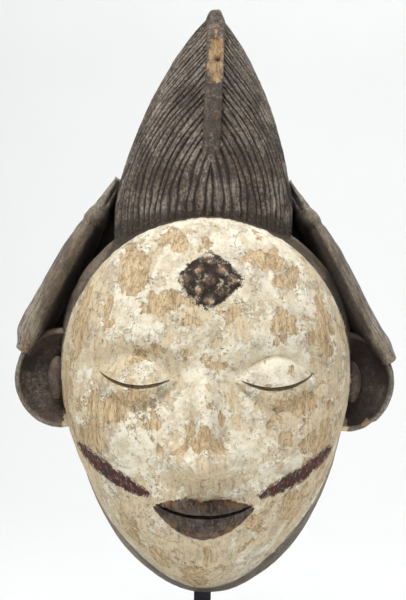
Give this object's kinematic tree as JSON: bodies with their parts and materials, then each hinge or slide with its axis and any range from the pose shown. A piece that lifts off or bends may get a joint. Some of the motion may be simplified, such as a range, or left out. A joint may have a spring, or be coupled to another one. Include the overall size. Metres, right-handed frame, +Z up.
{
  "type": "carved face mask on a stand",
  "caption": "Carved wooden face mask, hollow at the back, with a high combed crest, side tresses and cupped ears, held up by a square bar on a flat foot.",
  "frame": {"origin": "middle of the underside of the stand's foot", "axes": "+Z up, along the mask's height; the face looks along -Y; +X is on the right of the picture"},
  "size_m": [0.2159, 0.1522, 0.404],
  "materials": {
    "carved_wood": "worn white kaolin over pale wood, with dark brown hair and ears",
    "black_steel": "satin black paint"
  },
  "bodies": {
    "root": {"mask": "carved_wood", "stand_bar": "black_steel", "stand_foot": "black_steel"}
  },
  "joints": []
}
